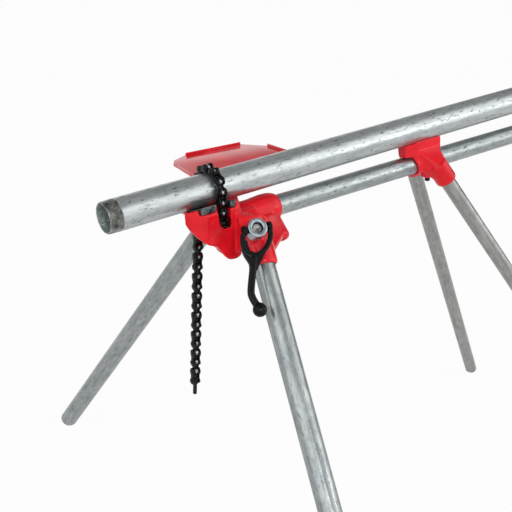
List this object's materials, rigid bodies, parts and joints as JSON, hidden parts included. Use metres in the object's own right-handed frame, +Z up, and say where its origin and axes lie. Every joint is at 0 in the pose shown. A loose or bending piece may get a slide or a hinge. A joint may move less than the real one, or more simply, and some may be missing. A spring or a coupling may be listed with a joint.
{
  "type": "four-leg chain vise pipe stand",
  "caption": "Pipe stand on splayed pipe legs: red cast head with V jaws, a chain tightened by a yoke-handled screw, a back rail, a rear saddle and a tool tray, holding a length of pipe.",
  "frame": {"origin": "on the floor, under the middle of the object's box", "axes": "+X rearwards along the back rail's plan direction, +Y towards the tool tray side, +Z up"},
  "size_m": [1.4102, 1.2956, 0.9668],
  "materials": {
    "red_enamel": "gloss",
    "galvanised_pipe": "spangled zinc",
    "zinc_plate": "bright",
    "black_iron": "satin",
    "black_steel": "oiled black"
  },
  "bodies": {
    "stand": {"back_rail": "galvanised_pipe", "chain_link_01": "black_steel", "chain_link_02": "black_steel", "chain_link_03": "black_steel", "front_far_leg_set_screw": "black_steel", "front_jaw": "black_steel", "front_jaw_screw_far": "black_steel", "front_jaw_screw_near": "black_steel", "front_near_leg_set_screw": "black_steel", "head_rail_set_screw": "black_steel", "rear_jaw": "black_steel", "rear_jaw_screw_far": "black_steel", "rear_jaw_screw_near": "black_steel", "tool_tray": "red_enamel", "tray_bolt_front": "zinc_plate", "tray_bolt_rear": "zinc_plate", "vise_head": "red_enamel"},
    "front_near_leg": {"front_near_leg": "galvanised_pipe"},
    "front_far_leg": {"front_far_leg": "galvanised_pipe"},
    "rear_support": {"rear_support": "red_enamel", "rear_rail_set_screw": "black_steel", "rear_near_leg_set_screw": "black_steel", "rear_far_leg_set_screw": "black_steel"},
    "rear_near_leg": {"rear_near_leg": "galvanised_pipe"},
    "rear_far_leg": {"rear_far_leg": "galvanised_pipe"},
    "work_pipe": {"work_pipe": "galvanised_pipe"},
    "screw_pad": {"screw_pad": "zinc_plate"},
    "clamp_screw": {"clamp_screw": "zinc_plate", "screw_sleeve": "zinc_plate", "yoke_pin_front": "black_steel", "yoke_pin_rear": "black_steel"},
    "yoke_handle": {"yoke_handle": "black_iron"},
    "chain_rocker": {"chain_rocker": "black_iron"},
    "chain_far": {"chain_link_04": "black_steel", "chain_link_05": "black_steel", "chain_link_06": "black_steel"},
    "chain_tail_upper": {"chain_link_07": "black_steel", "chain_link_08": "black_steel"},
    "chain_tail_middle": {"chain_link_09": "black_steel", "chain_link_10": "black_steel", "chain_link_11": "black_steel"},
    "chain_tail_lower": {"chain_link_12": "black_steel", "chain_link_13": "black_steel", "chain_link_14": "black_steel", "chain_tip": "black_steel"}
  },
  "joints": [
    {"name": "front_near_leg_slide", "type": "slide", "parent": "stand", "child": "front_near_leg", "axis": [-0.0928, -0.6147, -0.7833], "range_m": [0, 0.1]},
    {"name": "front_far_leg_slide", "type": "slide", "parent": "stand", "child": "front_far_leg", "axis": [-0.0928, 0.6147, -0.7833], "range_m": [0, 0.1]},
    {"name": "rear_support_slide", "type": "slide", "parent": "stand", "child": "rear_support", "axis": [0.9933, 0, 0.1156], "range_m": [0, 0.3]},
    {"name": "rear_near_leg_slide", "type": "slide", "parent": "rear_support", "child": "rear_near_leg", "axis": [0.594, -0.2226, -0.773], "range_m": [0, 0.1]},
    {"name": "rear_far_leg_slide", "type": "slide", "parent": "rear_support", "child": "rear_far_leg", "axis": [0.594, 0.2226, -0.773], "range_m": [0, 0.1]},
    {"name": "work_pipe_slide", "type": "slide", "parent": "stand", "child": "work_pipe", "axis": [0.9917, 0, 0.1283], "range_m": [-0.15, 0.25]},
    {"name": "screw_feed", "type": "slide", "parent": "stand", "child": "screw_pad", "axis": [-0.2732, -0.7559, 0.5949], "range_m": [0, 0.00149]},
    {"name": "clamp_turn", "type": "hinge", "parent": "screw_pad", "child": "clamp_screw", "pos_m": [-0.45111, -0.1153, 0.75724], "axis": [-0.2732, -0.7559, 0.5949], "range_deg": [0, 130]},
    {"name": "handle_fold", "type": "hinge", "parent": "clamp_screw", "child": "yoke_handle", "pos_m": [-0.44865, -0.1085, 0.75188], "axis": [-0.9594, 0.2588, -0.1117], "range_deg": [-5, 85]},
    {"name": "rocker_tip", "type": "hinge", "parent": "stand", "child": "chain_rocker", "pos_m": [-0.47235, -0.019, 0.73131], "axis": [0.9933, 0, 0.1156], "range_deg": [-2, 0]},
    {"name": "chain_lift", "type": "hinge", "parent": "stand", "child": "chain_far", "pos_m": [-0.48553, 0.00325, 0.84448], "axis": [0.9933, 0, 0.1156], "range_deg": [0, 75]},
    {"name": "chain_hang", "type": "hinge", "parent": "chain_far", "child": "chain_tail_upper", "pos_m": [-0.4756, 0.04799, 0.73825], "axis": [1, 0, 0], "range_deg": [-75.5, 0.5]},
    {"name": "tail_middle_swing", "type": "hinge", "parent": "chain_tail_upper", "child": "chain_tail_middle", "pos_m": [-0.4756, 0.04799, 0.65425], "axis": [1, 0, 0], "range_deg": [-20, 20]},
    {"name": "tail_lower_swing", "type": "hinge", "parent": "chain_tail_middle", "child": "chain_tail_lower", "pos_m": [-0.4756, 0.04799, 0.52825], "axis": [1, 0, 0], "range_deg": [-20, 20]}
  ],
  "couplings": [
    {"joint": "screw_feed", "follows": "clamp_turn", "m_per_rad": 0.00063662},
    {"joint": "rocker_tip", "follows": "clamp_turn", "ratio": -0.015038},
    {"joint": "chain_hang", "follows": "chain_lift", "ratio": -1}
  ]
}
